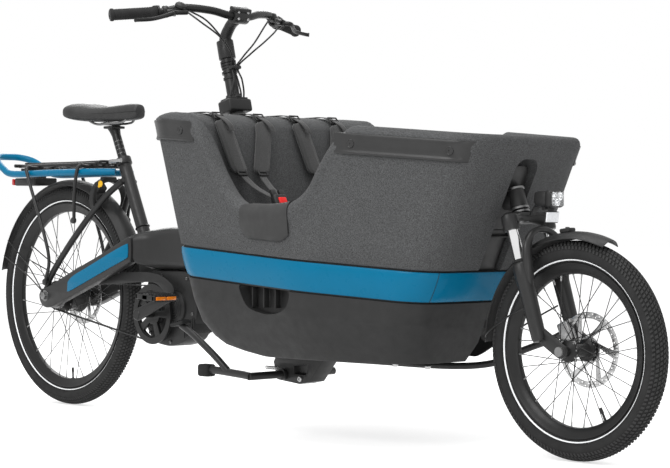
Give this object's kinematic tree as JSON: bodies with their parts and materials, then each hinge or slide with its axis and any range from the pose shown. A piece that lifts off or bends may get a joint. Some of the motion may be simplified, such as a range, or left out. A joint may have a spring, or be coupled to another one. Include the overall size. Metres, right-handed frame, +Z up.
{
  "type": "cargo bicycle",
  "caption": "Front-loading electric cargo bicycle: foam-walled child box, linked rod steering, sprung fork, mid motor with belt drive, rear rack and folding stand.",
  "frame": {"origin": "on the ground under the middle of the bicycle's length and width", "axes": "+X forward along the bicycle, +Y to the rider's left, +Z up"},
  "size_m": [2.6413, 0.7004, 1.1652],
  "materials": {
    "blue_paint": "gloss",
    "frame_paint": "satin",
    "foam": "matte",
    "dark_plastic": "matte",
    "rubber": "matte",
    "tyre": "matte",
    "rotor_steel": "satin",
    "chrome": "polished",
    "seat_fabric": "matte",
    "saddle_cover": "satin",
    "red_lens": "gloss"
  },
  "bodies": {
    "frame": {"rear_frame": "frame_paint", "front_frame": "frame_paint", "stay_inlay_right": "blue_paint", "stay_inlay_left": "blue_paint", "motor": "dark_plastic", "belt": "rubber", "belt_guard": "dark_plastic", "battery": "dark_plastic", "cargo_box": "foam", "cargo_band": "blue_paint", "lower_tub": "dark_plastic", "bench_seat": "seat_fabric", "harness_right": "seat_fabric", "harness_left": "seat_fabric", "rim_handle_right": "dark_plastic", "rim_handle_left": "dark_plastic", "rear_cap_right": "dark_plastic", "rear_cap_left": "dark_plastic", "step_pad_right": "rubber", "step_pad_left": "rubber", "rack_rail": "blue_paint", "rack_deck": "frame_paint", "tail_light": "red_lens", "rear_fender": "dark_plastic", "ring_lock": "dark_plastic", "stand_bracket": "frame_paint"},
    "rear_wheel": {"rear_wheel": "frame_paint", "rear_tyre": "tyre", "rear_rotor": "rotor_steel"},
    "sprocket": {"rear_sprocket": "frame_paint"},
    "column": {"steering_column": "frame_paint", "stem": "frame_paint", "handlebar": "frame_paint", "grip_right": "rubber", "grip_left": "rubber", "head_cover": "dark_plastic", "cables": "rubber"},
    "right_lever": {"brake_lever_right": "frame_paint"},
    "left_lever": {"brake_lever_left": "frame_paint"},
    "rod": {"steering_rod": "frame_paint"},
    "fork_upper": {"fork_crown": "chrome", "headlight": "dark_plastic"},
    "fork_lower": {"fork_lowers": "frame_paint", "front_fender": "dark_plastic"},
    "front_wheel": {"front_wheel": "frame_paint", "front_tyre": "tyre", "front_rotor": "rotor_steel"},
    "crank": {"crankset": "frame_paint"},
    "right_pedal": {"pedal_right": "dark_plastic"},
    "left_pedal": {"pedal_left": "dark_plastic"},
    "stand": {"kickstand": "frame_paint"},
    "seat": {"saddle": "saddle_cover", "seatpost": "frame_paint"},
    "seat_clamp": {"seat_clamp_lever": "rotor_steel"}
  },
  "joints": [
    {"name": "rear_wheel_spin", "type": "hinge", "parent": "frame", "child": "rear_wheel", "pos_m": [-0.9638, 0, 0.336], "axis": [0, 1, 0], "continuous": true},
    {"name": "crank_spin", "type": "hinge", "parent": "frame", "child": "crank", "pos_m": [-0.4838, 0, 0.295], "axis": [0, 1, 0], "continuous": true},
    {"name": "sprocket_spin", "type": "hinge", "parent": "frame", "child": "sprocket", "pos_m": [-0.9638, 0, 0.336], "axis": [0, 1, 0], "continuous": true},
    {"name": "pedal_right_spin", "type": "hinge", "parent": "crank", "child": "right_pedal", "pos_m": [-0.32875, -0.11, 0.35143], "axis": [0, 1, 0], "continuous": true},
    {"name": "pedal_left_spin", "type": "hinge", "parent": "crank", "child": "left_pedal", "pos_m": [-0.63885, 0.11, 0.23857], "axis": [0, 1, 0], "continuous": true},
    {"name": "steer", "type": "hinge", "parent": "frame", "child": "column", "pos_m": [-0.1868, 0, 0.904], "axis": [-0.2419, 0, 0.9703], "range_deg": [-30, 30]},
    {"name": "fork_steer", "type": "hinge", "parent": "frame", "child": "fork_upper", "pos_m": [0.8812, 0, 0.594], "axis": [-0.3132, 0, 0.9497], "range_deg": [-30, 30]},
    {"name": "rod_swing", "type": "hinge", "parent": "column", "child": "rod", "pos_m": [-0.00828, 0.1, 0.188], "axis": [-0.2419, 0, 0.9703], "range_deg": [-30, 30]},
    {"name": "fork_slide", "type": "slide", "parent": "fork_upper", "child": "fork_lower", "axis": [-0.3132, 0, 0.9497], "range_m": [0, 0.028], "stiffness_N_per_m": 8000, "springref_m": -0.05},
    {"name": "front_wheel_spin", "type": "hinge", "parent": "fork_lower", "child": "front_wheel", "pos_m": [1.0612, 0, 0.2595], "axis": [0, 1, 0], "continuous": true},
    {"name": "brake_right", "type": "hinge", "parent": "column", "child": "right_lever", "pos_m": [-0.20514, -0.20014, 1.13419], "axis": [0, 0, -1], "range_deg": [0, 13], "stiffness_Nm_per_rad": 0.6, "springref_deg": -17.19},
    {"name": "brake_left", "type": "hinge", "parent": "column", "child": "left_lever", "pos_m": [-0.20514, 0.20014, 1.13419], "axis": [0, 0, 1], "range_deg": [0, 13], "stiffness_Nm_per_rad": 0.6, "springref_deg": -17.19},
    {"name": "stand_fold", "type": "hinge", "parent": "frame", "child": "stand", "pos_m": [0.0562, 0, 0.15], "axis": [0, -1, 0], "range_deg": [0, 100], "stiffness_Nm_per_rad": 5, "springref_deg": -57.3},
    {"name": "seat_height", "type": "slide", "parent": "frame", "child": "seat", "axis": [-0.4229, 0, 0.9062], "range_m": [-0.02, 0.1]},
    {"name": "seat_clamp_turn", "type": "hinge", "parent": "frame", "child": "seat_clamp", "pos_m": [-0.7193, -0.0315, 0.742], "axis": [0, 0, -1], "range_deg": [0, 110]}
  ],
  "couplings": [
    {"joint": "sprocket_spin", "follows": "crank_spin", "ratio": 1.9277},
    {"joint": "fork_steer", "follows": "steer", "ratio": 1},
    {"joint": "rod_swing", "follows": "steer", "ratio": -1}
  ]
}
